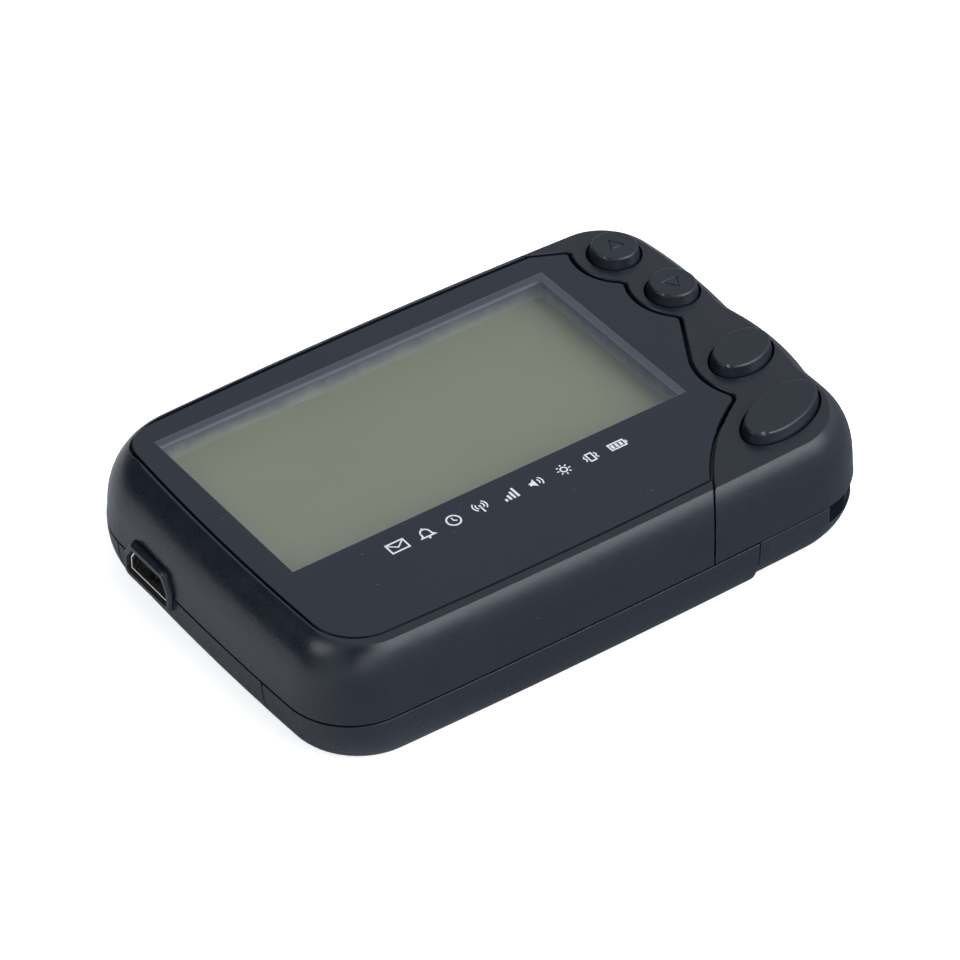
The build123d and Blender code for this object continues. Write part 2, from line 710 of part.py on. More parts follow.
def ic_packages():
    """Chips on the back of the board: processor, memory, charger and regulator."""
    chips = [
        (-22.0, 6.0, 9.0, 9.0),
        (-22.0, -8.0, 6.0, 5.0),
        (-27.5, 18.5, 3.2, 3.2),
        (15.5, 19.0, 3.2, 2.6),
    ]
    height = 1.1
    group = []
    for x, y, length, width in chips:
        chip = Pos(x, y, BOARD_Z[0] - height / 2) * Box(length, width, height)
        group.append(chamfer(chip.faces().sort_by(Axis.Z)[0].edges(), 0.2))
    return Compound(children=group)


def crystal():
    """Clock crystal in its metal can."""
    can = box((-16.2, -14.4), (3.0, 10.5), (BOARD_Z[0] - 1.4, BOARD_Z[0]))
    return fillet(can.edges().filter_by(Axis.Z), 0.6)


def loop_antenna():
    """Flat copper loop that stands on edge under the button end of the board."""
    thick = 0.4
    top = BOARD_Z[0] - 0.7
    path = FilletPolyline((24.5, 24.0), (35.8, 24.0), (38.4, 20.0), (38.4, 6.0), radius=2.0)
    strip = trace(path, line_width=thick)
    loop = prism(strip, (top - 3.6, top))
    for x, y in [(24.7, 24.0), (38.4, 6.6)]:
        loop += box((x - 0.2, x + 0.2), (y - 0.4, y + 0.2), (top - 0.1, BOARD_Z[0]))
    return loop


def usb_shell():
    """Metal shell of the socket."""
    shell = port_prism(PORT_SHELL_X, -PORT_SHELL_GAP)
    shell -= port_prism((PORT_SHELL_X[0] - 1, PORT_SHELL_X[1] + 1), -PORT_SHELL_GAP - PORT_SHELL_WALL)
    for x in (PORT_SHELL_X[0] + 4.5, PORT_SHELL_X[1] - 1.2):
        for y in (PORT_Y - 2.4, PORT_Y + 2.4):
            leg_z = (PORT_Z + PORT_HALF_HEIGHT - 0.4, BOARD_Z[0])
            shell += box((x, x + 1.0), (y - 0.5, y + 0.5), leg_z)
    return shell


def usb_insulator():
    """Plastic body at the back of the socket, with the tongue for the contacts."""
    back = port_prism((PORT_SHELL_X[1] - 2.5, PORT_SHELL_X[1] - 0.1), -0.5)
    tongue = box(
        (PORT_SHELL_X[0] + 1.2, PORT_SHELL_X[1] - 2),
        (PORT_Y - 2.1, PORT_Y + 2.1),
        (PORT_Z + 0.1, PORT_Z + 0.75),
    )
    return back + tongue


def usb_contacts():
    """Five contact strips under the tongue."""
    x = (PORT_SHELL_X[0] + 1.6, PORT_SHELL_X[1] - 2.6)
    z = (PORT_Z - 0.05, PORT_Z + 0.1)
    pitch = 0.8
    group = []
    for number in range(5):
        y = PORT_Y + pitch * (number - 2)
        group.append(box(x, (y - 0.15, y + 0.15), z))
    return Compound(children=group)


# ------------------------------------------------------------------ alert parts

def buzzer():
    """Round sounder under the board, with a sound hole in its foot."""
    x, y = BUZZER_CENTRE
    body = rod(x, y, (BUZZER_FOOT_Z, BOARD_Z[0]), BUZZER_RADIUS)
    body = fillet(body.faces().sort_by(Axis.Z)[0].edges(), 0.4)
    return body - rod(x, y, (0, BUZZER_FOOT_Z + 0.8), 1.2)


def motor_can():
    """Case of the vibration motor, with a plain bearing bore at its nose."""
    can = rod_y(MOTOR_X, MOTOR_Y, MOTOR_Z, MOTOR_RADIUS)
    can = fillet(can.edges(), 0.3)
    can += rod_y(MOTOR_X, (MOTOR_Y[0] - 0.5, MOTOR_Y[0] + 0.1), MOTOR_Z, 1.1)
    bore_y = (MOTOR_Y[0] - 1, MOTOR_Y[0] + SHAFT_DEPTH + 0.1)
    return can - rod_y(MOTOR_X, bore_y, MOTOR_Z, SHAFT_RADIUS + 0.05)


def motor_clip():
    """Bent plate that holds the motor against the board."""
    y = (MOTOR_Y[0] + 2.5, MOTOR_Y[1] - 2.0)
    half = MOTOR_RADIUS + 0.05
    thick = 0.35
    sleeve = rod_y(MOTOR_X, y, MOTOR_Z, half + thick)
    sleeve -= rod_y(MOTOR_X, (y[0] - 1, y[1] + 1), MOTOR_Z, half)
    sleeve &= box((0, 60), (-60, 60), (-1, MOTOR_Z))
    leg = box((MOTOR_X + half, MOTOR_X + half + thick), y, (MOTOR_Z, BOARD_Z[0]))
    foot = box((MOTOR_X + half, MOTOR_X + half + 1.6), y, (BOARD_Z[0] - thick, BOARD_Z[0]))
    side = leg + foot
    return sleeve + side + mirror(side, Plane(origin=(MOTOR_X, 0, 0), z_dir=(1, 0, 0)))


def motor_shaft():
    """Shaft from inside the motor to the far end of the weight."""
    return rod_y(MOTOR_X, (WEIGHT_Y[0] - 0.4, MOTOR_Y[0] + SHAFT_DEPTH), MOTOR_Z, SHAFT_RADIUS)


def eccentric_weight():
    """Half-round weight that is pressed on the shaft."""
    disc = rod_y(MOTOR_X, WEIGHT_Y, MOTOR_Z, WEIGHT_RADIUS)
    disc &= box((0, 60), (-60, 60), (-5, MOTOR_Z + 0.3))
    disc += rod_y(MOTOR_X, WEIGHT_Y, MOTOR_Z, 1.1)
    return disc - rod_y(MOTOR_X, (WEIGHT_Y[0] - 1, WEIGHT_Y[1] + 1), MOTOR_Z, SHAFT_RADIUS)


# ------------------------------------------------------------------ power

def battery():
    """Flat rechargeable pack with rounded long edges."""
    pack = box(BATTERY_X, (-BATTERY_HALF_WIDTH, BATTERY_HALF_WIDTH), BATTERY_Z)
    pack = fillet(pack.edges().filter_by(Axis.X), 1.4)
    for y in TERMINAL_Y:
        pack -= battery_pad(y)
    return pack


def battery_pad(y):
    """One terminal, flush with the end of the pack."""
    return box((BATTERY_X[1] - 0.3, BATTERY_X[1]), (y - 1.1, y + 1.1), (2.6, 5.0))


def battery_pads():
    """Three terminals in the end of the pack."""
    return Compound(children=[battery_pad(y) for y in TERMINAL_Y])


def contact_places():
    """Foot of each battery contact on the board."""
    return [(BATTERY_X[1] + 1.9, y) for y in TERMINAL_Y]


def battery_contacts():
    """Three leaf springs that hang from the board and lean on the terminals."""
    foot_z = BOARD_Z[0] - 0.15
    group = []
    for x, y in contact_places():
        path = FilletPolyline(
            (x + 1.6, foot_z),
            (x, foot_z),
            (x, 5.6),
            (BATTERY_X[1] + 0.2, 3.8),
            (x, 2.4),
            radius=0.5,
        )
        strip = trace(path, line_width=0.25)
        plane = Plane(origin=(0, y + 0.8, 0), x_dir=(1, 0, 0), z_dir=(0, -1, 0))
        group.append(extrude(plane * strip, 1.6))
    return Compound(children=group)


# ------------------------------------------------------------------ fasteners

def screw(x, y, head_z, tip_z, radius, head_radius):
    """Pan head screw, driven from the back, with a cross recess."""
    head = rod(x, y, (head_z, head_z + 1.0), head_radius)
    head = fillet(head.faces().sort_by(Axis.Z)[0].edges(), 0.35)
    shank = rod(x, y, (head_z + 0.9, tip_z), radius)
    shank = chamfer(shank.faces().sort_by(Axis.Z)[-1].edges(), 0.3)
    recess_z = (head_z - 1, head_z + 0.5)
    bar = box((x - 0.8, x + 0.8), (y - 0.16, y + 0.16), recess_z)
    cross = box((x - 0.16, x + 0.16), (y - 0.8, y + 0.8), recess_z)
    return head + shank - bar - cross


def case_screws():
    """Screws that hold the rear case to the front shells."""
    group = []
    for x, y in CASE_SCREWS:
        seat = COVER_PROUD + 1.65 if x > COVER_END_X else COVER_FLOOR + COVER_GAP + 2.1
        group.append(screw(x, y, seat - 1.0, CASE_SCREW_TIP_Z, SCREW_RADIUS, SCREW_HEAD_RADIUS))
    return Compound(children=group)


def board_screws():
    """Screws that hold the board to the front frame."""
    group = []
    for x, y in BOARD_SCREWS:
        group.append(screw(x, y, BOARD_Z[0] - 1.0, BOARD_SCREW_TIP_Z, SCREW_RADIUS - 0.15, 1.3))
    return Compound(children=group)


# ------------------------------------------------------------------ files

NODES = {
    "front_frame": front_frame,
    "button_panel": button_panel,
    "display_lens": display_lens,
    "lens_adhesive": lens_adhesive,
    "lcd_holder": lcd_holder,
    "lcd_glass": lcd_glass,
    "lcd_polarizer": lcd_polarizer,
    "lcd_reflector": lcd_reflector,
    "light_guide": light_guide,
    "backlight_lamps": lambda: Compound(children=lamp_boxes()),
    "zebra_connector": zebra_connector,
    "switch_bodies": switch_bodies,
    "main_board": main_board,
    "rf_shield": rf_shield,
    "ic_packages": ic_packages,
    "crystal": crystal,
    "loop_antenna": loop_antenna,
    "usb_shell": usb_shell,
    "usb_insulator": usb_insulator,
    "usb_contacts": usb_contacts,
    "buzzer": buzzer,
    "motor_can": motor_can,
    "motor_clip": motor_clip,
    "motor_shaft": motor_shaft,
    "eccentric_weight": eccentric_weight,
    "rear_case": rear_case,
    "battery_cover": battery_cover,
    "battery": battery,
    "battery_pads": battery_pads,
    "battery_contacts": battery_contacts,
    "case_screws": case_screws,
    "board_screws": board_screws,
}

os.makedirs("parts", exist_ok=True)
for node, make in NODES.items():
    export_step(make(), f"parts/{node}.step")
for key in KEYS:
    export_step(button(key), f"parts/{key}_button.step")
    export_step(plunger(key), f"parts/{key}_plunger.step")
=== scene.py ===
import bpy
import bmesh
import math
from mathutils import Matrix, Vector


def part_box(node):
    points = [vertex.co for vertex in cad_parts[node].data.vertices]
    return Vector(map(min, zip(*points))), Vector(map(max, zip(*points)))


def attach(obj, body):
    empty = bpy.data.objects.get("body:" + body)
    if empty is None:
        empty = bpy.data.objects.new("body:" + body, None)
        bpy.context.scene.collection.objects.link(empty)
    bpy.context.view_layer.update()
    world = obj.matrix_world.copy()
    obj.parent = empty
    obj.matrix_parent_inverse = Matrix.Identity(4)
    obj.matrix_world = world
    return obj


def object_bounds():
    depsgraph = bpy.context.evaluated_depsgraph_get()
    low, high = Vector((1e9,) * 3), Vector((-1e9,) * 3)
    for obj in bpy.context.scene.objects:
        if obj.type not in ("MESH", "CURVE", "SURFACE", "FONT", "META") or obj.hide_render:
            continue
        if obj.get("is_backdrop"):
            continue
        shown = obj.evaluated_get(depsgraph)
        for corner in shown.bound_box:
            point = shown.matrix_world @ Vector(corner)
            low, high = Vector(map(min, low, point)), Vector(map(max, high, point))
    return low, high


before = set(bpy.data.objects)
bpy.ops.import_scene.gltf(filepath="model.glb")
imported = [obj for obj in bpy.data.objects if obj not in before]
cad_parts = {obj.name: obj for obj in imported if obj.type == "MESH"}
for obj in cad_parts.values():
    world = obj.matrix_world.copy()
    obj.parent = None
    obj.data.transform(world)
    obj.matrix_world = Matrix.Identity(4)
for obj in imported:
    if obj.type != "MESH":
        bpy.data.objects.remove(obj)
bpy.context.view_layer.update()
MM = 0.001

# tone of what lies just under the lens round the window, and the strength of the painted glow that
# lights this shaded strip
LINER_TONE = (0.105, 0.113, 0.132)
LINER_PAINTED_GLOW = 0.5

# ------------------------------------------------------------------ node helpers


class Look:
    """A material with a Principled shader and short calls that add nodes to it."""

    def __init__(self, name):
        self.material = bpy.data.materials.new(name)
        self.material.use_nodes = True
        self.tree = self.material.node_tree
        self.tree.nodes.clear()
        self.output = self.tree.nodes.new("ShaderNodeOutputMaterial")
        self.shader = self.tree.nodes.new("ShaderNodeBsdfPrincipled")
        self.join(self.shader.outputs[0], self.output.inputs["Surface"])
        self.place = self.tree.nodes.new("ShaderNodeTexCoord").outputs["Object"]

    def join(self, source, target):
        """Puts a socket, a number or a colour into an input."""
        if isinstance(source, bpy.types.NodeSocket):
            self.tree.links.new(source, target)
        elif isinstance(source, (tuple, list)) and target.type == "RGBA":
            target.default_value = (*source[:3], 1.0)
        else:
            target.default_value = source

    def node(self, kind, inputs=None, **settings):
        """Adds a node, sets its properties and fills its inputs."""
        made = self.tree.nodes.new(kind)
        for key, value in settings.items():
            setattr(made, key, value)
        for key, value in (inputs or {}).items():
            self.join(value, made.inputs[key])
        return made

    def set(self, **inputs):
        """Sets inputs of the shader; an underscore in a name stands for a space."""
        for key, value in inputs.items():
            self.join(value, self.shader.inputs[key.replace("_", " ")])

    def stretched(self, x=1.0, y=1.0, z=1.0):
        """Object coordinates scaled on each axis."""
        return self.node("ShaderNodeMapping", {"Vector": self.place, "Scale": (x, y, z)}).outputs[0]

    def noise(self, size_mm, detail=2.0, rough=0.5, place=None):
        """Noise from 0 to 1 whose grains are about a size across."""
        inputs = {
            "Vector": place or self.place,
            "Scale": 1.0 / (size_mm * MM),
            "Detail": detail,
            "Roughness": rough,
        }
        return self.node("ShaderNodeTexNoise", inputs).outputs["Fac"]

    def cells(self, size_mm, output="Distance"):
        """Cell pattern whose cells are about a size across."""
        inputs = {"Vector": self.place, "Scale": 1.0 / (size_mm * MM)}
        return self.node("ShaderNodeTexVoronoi", inputs).outputs[output]

    def bricks(self, size_mm, line_mm, softness, stagger):
        """Grid of blocks: 1 inside a block and 0 on the lines between them."""
        inputs = {
            "Vector": self.place,
            "Scale": 1.0,
            "Color1": (1, 1, 1),
            "Color2": (1, 1, 1),
            "Mortar": (0, 0, 0),
            "Brick Width": size_mm[0] * MM,
            "Row Height": size_mm[1] * MM,
            "Mortar Size": line_mm * MM,
            "Mortar Smooth": softness,
        }
        return self.node("ShaderNodeTexBrick", inputs, offset=stagger, squash=1.0).outputs["Color"]

    def normal(self, axis):
        """One coordinate of the surface normal."""
        real = self.node("ShaderNodeNewGeometry").outputs["Normal"]
        return self.node("ShaderNodeSeparateXYZ", {0: real}).outputs[axis]

    def math(self, operation, first, second=0.0):
        """Result of an operation on one or two numbers."""
        made = self.node("ShaderNodeMath", operation=operation)
        self.join(first, made.inputs[0])
        self.join(second, made.inputs[1])
        return made.outputs[0]

    def remap(self, value, low, high, to_low=0.0, to_high=1.0, smooth=False):
        """Value between low and high carried to another range, and held there outside it."""
        inputs = {
            "Value": value,
            "From Min": low,
            "From Max": high,
            "To Min": to_low,
            "To Max": to_high,
        }
        kind = "SMOOTHSTEP" if smooth else "LINEAR"
        return self.node("ShaderNodeMapRange", inputs, interpolation_type=kind).outputs[0]

    def mix(self, share, first, second):
        """Colour between two colours."""
        made = self.node("ShaderNodeMix", data_type="RGBA")
        self.join(share, made.inputs[0])
        self.join(first, made.inputs[6])
        self.join(second, made.inputs[7])
        return made.outputs[2]

    def axis(self, name):
        """One object coordinate, in metres."""
        return self.node("ShaderNodeSeparateXYZ", {0: self.place}).outputs[name]

    def soft_edge(self, radius_mm):
        """Normal that rounds every sharp edge by a radius."""
        return self.node("ShaderNodeBevel", {"Radius": radius_mm * MM}, samples=4).outputs[0]

    def edge_share(self, rounded):
        """1 where a rounded normal leaves the real one, so on edges, and 0 on open faces."""
        real = self.node("ShaderNodeNewGeometry").outputs["Normal"]
        inputs = {0: rounded, 1: real}
        along = self.node("ShaderNodeVectorMath", inputs, operation="DOT_PRODUCT").outputs["Value"]
        return self.remap(along, 0.98, 0.80)

    def bump(self, height, depth_mm, strength=1.0, normal=None):
        """Relief on the surface; depth is the height of a full step."""
        inputs = {"Height": height, "Distance": depth_mm * MM, "Strength": strength}
        if normal is not None:
            inputs["Normal"] = normal
        return self.node("ShaderNodeBump", inputs).outputs[0]


# ------------------------------------------------------------------ materials of the outside


def moulded_plastic(name, colour, rough, grain_mm=0.16, grain_depth=0.004, edge_highlight_gain=2.2):
    """Satin moulded plastic: fine spark texture, cloudy gloss, a painted highlight along the edges in
    patches and a few dust specks.
    """
    look = Look(name)
    speck_spacing = 1.5
    clouds = look.noise(9.0, 3.0, 0.6)
    fine = look.noise(grain_mm, 2.0, 0.6)
    darker = tuple(c * 0.86 for c in colour)
    paler = tuple(c * 1.16 for c in colour)
    body = look.mix(clouds, darker, paler)
    edges = look.soft_edge(0.16)
    # painted highlight: sharp edges turn paler in patches, standing in for glints along seams and rims
    patchy = look.remap(look.noise(1.6, 3.0), 0.3, 0.7, 0.35, 1.0)
    painted_edge_highlight = look.math("MULTIPLY", look.edge_share(edges), patchy)
    body = look.mix(painted_edge_highlight, body, tuple(c * edge_highlight_gain for c in colour))
    near_middle = look.math("LESS_THAN", look.cells(speck_spacing), 0.045)
    number = look.node("ShaderNodeSeparateColor", {0: look.cells(speck_spacing, "Color")}).outputs[0]
    few = look.math("GREATER_THAN", number, 0.94)
    speck = look.math("MULTIPLY", near_middle, few)
    body = look.mix(speck, body, (0.10, 0.11, 0.12))
    gloss = look.remap(look.noise(4.0, 4.0, 0.65), 0.3, 0.7, rough - 0.035, rough + 0.045)
    gloss = look.math("ADD", gloss, look.remap(fine, 0.3, 0.7, -0.03, 0.03))
    look.set(Base_Color=body, Roughness=gloss, Specular_IOR_Level=0.5)
    look.set(Normal=look.bump(fine, grain_depth, 1.0, edges))
    return look.material


def in_window(look, low, high, soft_mm):
    """1 inside a rectangle in X and Y, 0 outside, with an edge of a width."""
    inside = None
    for name, a, b in (("X", low.x, high.x), ("Y", low.y, high.y)):
        place = look.axis(name)
        half = soft_mm * MM / 2
        rise = look.remap(place, a - half, a + half)
        fall = look.remap(place, b - half, b + half, 1.0, 0.0)
        both = look.math("MULTIPLY", rise, fall)
        inside = both if inside is None else look.math("MULTIPLY", inside, both)
    return inside


def lens_material(low, high):
    """Clear acrylic with an opaque blue-black border printed round the window; painted shade makes its
    side faces near black and a painted glow lights its underside.
    """
    look = Look("lens_acrylic")
    print_softness = 0.08
    under_depth = 1.3 * MM
    haze_share = 0.07
    window = in_window(look, low, high, print_softness)
    under = look.math("LESS_THAN", look.axis("Z"), low.z - under_depth)
    haze = look.remap(look.noise(14.0, 3.0), 0.3, 0.7, 0.9, 1.1)
    border = look.mix(look.noise(11.0, 3.0), (0.0075, 0.0105, 0.0190), (0.0095, 0.0125, 0.0220))
    dust = look.math("LESS_THAN", look.cells(2.6), 0.03)
    border = look.mix(dust, border, (0.12, 0.13, 0.15))
    border = look.mix(under, border, LINER_TONE)
    # painted shade: the side faces of the lens go near black, so the groove round it reads dark
    side = look.remap(look.math("ABSOLUTE", look.normal("Z")), 0.9, 0.5)
    border = look.mix(side, border, (0.0012, 0.0014, 0.0018))
    film = look.mix(window, border, (0.30, 0.33, 0.40))
    seen_through = look.math("SUBTRACT", 1.0, look.math("MULTIPLY", haze_share, haze))
    clear = look.math("MULTIPLY", window, seen_through)
    smear = look.noise(5.0, 4.0, 0.6, look.stretched(1.0, 3.0, 1.0))
    gloss = look.remap(smear, 0.3, 0.75, 0.16, 0.24)
    look.set(Base_Color=film, Alpha=look.math("SUBTRACT", 1.0, clear), Roughness=gloss)
    look.set(Specular_IOR_Level=look.remap(look.normal("Z"), 0.85, 0.97, 0.04, 0.5))
    # painted light: the print on the underside glows, brightening the shaded strip under the border
    look.set(Emission_Color=LINER_TONE, Emission_Strength=look.math("MULTIPLY", under, LINER_PAINTED_GLOW))
    edges = look.soft_edge(0.1)
    look.set(Normal=look.bump(look.noise(0.3, 1.0), 0.0004, 0.6, edges))
    return look.material


def display_film():
    """Grey-green face of a reflective display, with the faint grid of its dots."""
    look = Look("display_film")
    clouds = look.noise(18.0, 3.0)
    fine = look.noise(0.22, 2.0, 0.7)
    body = look.mix(clouds, (0.186, 0.184, 0.110), (0.203, 0.201, 0.121))
    body = look.mix(look.remap(fine, 0.35, 0.65, 0.0, 0.5), body, (0.169, 0.167, 0.099))
    dot_pitch = 0.56
    grid = look.bricks((dot_pitch, dot_pitch), 0.03, 0.6, 0.0)
    body = look.mix(look.remap(grid, 0.0, 1.0, 0.05, 0.0), body, (0.17, 0.18, 0.14))
    look.set(Base_Color=body, Roughness=look.remap(fine, 0.3, 0.7, 0.42, 0.52))
    look.set(Normal=look.bump(fine, 0.002, 0.5))
    return look.material


def white_ink():
    """Screen-printed white ink, slightly uneven at its edge."""
    look = Look("white_ink")
    body = look.mix(look.noise(0.35, 3.0), (0.62, 0.63, 0.64), (0.78, 0.79, 0.80))
    look.set(Base_Color=body, Roughness=look.remap(look.noise(0.2), 0.3, 0.7, 0.4, 0.6))
    look.set(Normal=look.bump(look.noise(0.12), 0.003))
    return look.material


# ------------------------------------------------------------------ materials of the inside


def plain_plastic(name, colour, rough, clear=0.0):
    """Smooth moulded plastic with soft colour drift, faint flow lines and a painted highlight that
    makes the edges paler.
    """
    look = Look(name)
    drift = look.noise(6.0, 3.0, 0.6)
    flow = look.noise(1.2, 2.0, 0.5, look.stretched(0.25, 1.0, 1.0))
    darker = tuple(c * 0.88 for c in colour)
    paler = tuple(min(1.0, c * 1.1) for c in colour)
    body = look.mix(drift, darker, paler)
    edges = look.soft_edge(0.08)
    # painted highlight: sharp edges paler than the faces
    body = look.mix(look.edge_share(edges), body, tuple(min(1.0, c * 1.35 + 0.02) for c in colour))
    look.set(Base_Color=body, Roughness=look.remap(flow, 0.3, 0.7, rough - 0.05, rough + 0.07))
    if clear:
        look.set(Transmission_Weight=clear, IOR=1.49)
    look.set(Normal=look.bump(flow, 0.004, 0.6, edges))
    return look.material


def metal(name, colour, rough, brush=(1.0, 14.0, 14.0), tarnish=0.25, rim_glow=0.0):
    """Sheet or drawn metal with a brushed grain, patches of tarnish and a painted highlight: faces
    towards -X glow in the metal's colour.
    """
    look = Look(name)
    grain = look.noise(0.5, 3.0, 0.7, look.stretched(*brush))
    patches = look.noise(2.6, 4.0, 0.6)
    dull = tuple(c * (1.0 - tarnish) for c in colour)
    body = look.mix(look.remap(patches, 0.42, 0.72), colour, dull)
    edges = look.soft_edge(0.06)
    gloss = look.remap(patches, 0.3, 0.7, rough - 0.05, rough + 0.08)
    gloss = look.math("ADD", gloss, look.remap(grain, 0.3, 0.7, -0.06, 0.06))
    look.set(Base_Color=body, Metallic=1.0, Roughness=gloss)
    if rim_glow:
        # painted highlight: faces turned towards -X glow, unevenly along the grain
        glow_share = look.remap(look.normal("X"), -0.95, -0.8, rim_glow, 0.0)
        uneven = look.remap(grain, 0.3, 0.7, 0.8, 1.2)
        look.set(Emission_Color=colour, Emission_Strength=look.math("MULTIPLY", glow_share, uneven))
    look.set(Normal=look.bump(grain, 0.0025, 0.7, edges))
    return look.material


def adhesive_tape():
    """Tape under the lens, in the tone of the liner and of the print on the back of the lens, lit by
    the same painted glow.
    """
    look = Look("adhesive_tape")
    # painted light: the tape glows a little to brighten the shaded strip under the lens border
    glow = look.remap(look.noise(3.0), 0.3, 0.7, LINER_PAINTED_GLOW - 0.04, LINER_PAINTED_GLOW + 0.04)
    look.set(Base_Color=LINER_TONE, Roughness=look.remap(look.noise(0.6), 0.3, 0.7, 0.5, 0.7))
    look.set(Emission_Color=LINER_TONE, Emission_Strength=glow)
    look.set(Normal=look.bump(look.noise(0.3, 3.0), 0.002))
    return look.material


def circuit_board():
    """Green solder mask over copper tracks, with tinned holes between them."""
    look = Look("circuit_board")
    bands = look.remap(look.bricks((7.5, 1.1), 0.16, 0.1, 0.37), 0.0, 0.2)
    mask = look.mix(bands, (0.010, 0.062, 0.030), (0.018, 0.105, 0.050))
    mask = look.mix(look.noise(5.0, 3.0), mask, (0.014, 0.085, 0.045))
    hole = look.math("LESS_THAN", look.cells(2.4), 0.11)
    body = look.mix(hole, mask, (0.62, 0.60, 0.54))
    look.set(Base_Color=body, Metallic=look.math("MULTIPLY", hole, 0.9))
    look.set(Roughness=look.remap(look.noise(0.8, 3.0), 0.3, 0.7, 0.26, 0.38))
    relief = look.math("ADD", bands, look.noise(0.5))
    look.set(Normal=look.bump(relief, 0.02, 0.5, look.soft_edge(0.06)))
    return look.material


def zebra_rubber():
    """Silicone strip with fine dark conducting layers across it."""
    look = Look("zebra_rubber")
    inputs = {"Vector": look.place, "Scale": 480.0, "Distortion": 0.3}
    wave = look.node("ShaderNodeTexWave", inputs, bands_direction="X").outputs["Fac"]
    body = look.mix(look.remap(wave, 0.35, 0.65), (0.62, 0.52, 0.50), (0.05, 0.05, 0.055))
    look.set(Base_Color=body, Roughness=look.remap(look.noise(0.6), 0.3, 0.7, 0.55, 0.7))
    look.set(Normal=look.bump(wave, 0.01, 0.5))
    return look.material


def wrapped_pack():
    """Printed film shrunk over the battery: dark, glossy, wrinkled, with one pale band across it."""
    look = Look("battery_wrap")
    band_x = (-26.0 * MM, -23.5 * MM)
    wrinkles = look.noise(3.2, 3.0, 0.55, look.stretched(1.0, 0.22, 1.0))
    body = look.mix(look.noise(12.0, 2.0), (0.030, 0.034, 0.042), (0.044, 0.049, 0.060))
    after = look.math("GREATER_THAN", look.axis("X"), band_x[0])
    before = look.math("LESS_THAN", look.axis("X"), band_x[1])
    band = look.math("MULTIPLY", after, before)
    body = look.mix(band, body, (0.16, 0.19, 0.24))
    look.set(Base_Color=body, Roughness=look.remap(wrinkles, 0.3, 0.7, 0.24, 0.4))
    look.set(Normal=look.bump(wrinkles, 0.06, 0.6, look.soft_edge(0.1)))
    return look.material


# ------------------------------------------------------------------ giving CAD nodes their looks

LENS_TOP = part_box("display_lens")[1].z
LCD_LOW, LCD_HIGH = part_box("lcd_glass")

# the clear window is smaller than the display glass by a margin on each side
MARGIN_LEFT = 1.66 * MM
MARGIN_RIGHT = 1.51 * MM
MARGIN_NEAR = 2.36 * MM
MARGIN_FAR = 3.03 * MM
WINDOW_LOW = Vector((LCD_LOW.x + MARGIN_LEFT, LCD_LOW.y + MARGIN_NEAR, LENS_TOP))
WINDOW_HIGH = Vector((LCD_HIGH.x - MARGIN_RIGHT, LCD_HIGH.y - MARGIN_FAR, LENS_TOP))

NAVY = (0.0085, 0.0110, 0.0175)
KEY_NAVY = (0.0075, 0.0100, 0.0165)


def dress_nodes():
    """One procedural material for each CAD node."""
    case = moulded_plastic("case_plastic", NAVY, 0.29, 0.20, 0.008, 4.0)
    keys = moulded_plastic("key_plastic", KEY_NAVY, 0.34, 0.14, 0.004, 4.5)
    steel = metal("socket_steel", (0.62, 0.62, 0.61), 0.26, rim_glow=0.7)
    gold = metal("gold_contacts", (0.86, 0.62, 0.28), 0.24)
    tin = metal("tinned_sheet", (0.60, 0.60, 0.58), 0.34, (1.0, 1.0, 6.0))
    looks = {
        "front_frame": case, "button_panel": case, "rear_case": case, "battery_cover": case,
        "display_lens": lens_material(WINDOW_LOW, WINDOW_HIGH),
        "lens_adhesive": adhesive_tape(),
        "lcd_holder": plain_plastic("holder_plastic", (0.32, 0.34, 0.38), 0.5),
        "lcd_glass": plain_plastic("display_glass", (0.24, 0.26, 0.20), 0.16),
        "lcd_polarizer": display_film(),
        "lcd_reflector": plain_plastic("reflector_film", (0.60, 0.62, 0.56), 0.45),
        "light_guide": plain_plastic("light_guide", (0.80, 0.83, 0.82), 0.12, 0.85),
        "backlight_lamps": plain_plastic("lamp_phosphor", (0.80, 0.72, 0.30), 0.35),
        "zebra_connector": zebra_rubber(),
        "switch_bodies": plain_plastic("switch_plastic", (0.035, 0.035, 0.038), 0.4),
        "main_board": circuit_board(),
        "rf_shield": tin,
        "ic_packages": plain_plastic("chip_epoxy", (0.022, 0.022, 0.024), 0.55),
        "crystal": metal("crystal_can", (0.66, 0.65, 0.62), 0.22),
        "loop_antenna": metal("copper_strip", (0.78, 0.42, 0.24), 0.28),
        "usb_shell": steel,
        "usb_insulator": plain_plastic("socket_plastic", (0.014, 0.014, 0.016), 0.45),
        "usb_contacts": gold,
        "buzzer": plain_plastic("sounder_plastic", (0.020, 0.020, 0.022), 0.42),
        "motor_can": metal("motor_steel", (0.55, 0.55, 0.56), 0.3, (14.0, 1.0, 14.0)),
        "motor_clip": steel,
        "motor_shaft": metal("ground_steel", (0.58, 0.58, 0.59), 0.18),
        "eccentric_weight": metal("sintered_weight", (0.36, 0.36, 0.37), 0.42, (6.0, 6.0, 6.0)),
        "battery": wrapped_pack(),
        "battery_pads": gold,
        "battery_contacts": gold,
        "case_screws": metal("black_screws", (0.10, 0.10, 0.11), 0.34, (6.0, 6.0, 1.0), 0.4),
        "board_screws": metal("bright_screws", (0.55, 0.55, 0.54), 0.30, (6.0, 6.0, 1.0)),
    }
    plunger = plain_plastic("plunger_plastic", (0.62, 0.60, 0.54), 0.4)
    for key in ("up", "down", "read", "menu"):
        looks[f"{key}_button"] = keys
        looks[f"{key}_plunger"] = plunger
    for node, material in looks.items():
        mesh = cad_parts[node].data
        mesh.materials.clear()
        mesh.materials.append(material)


# ------------------------------------------------------------------ liner of the window


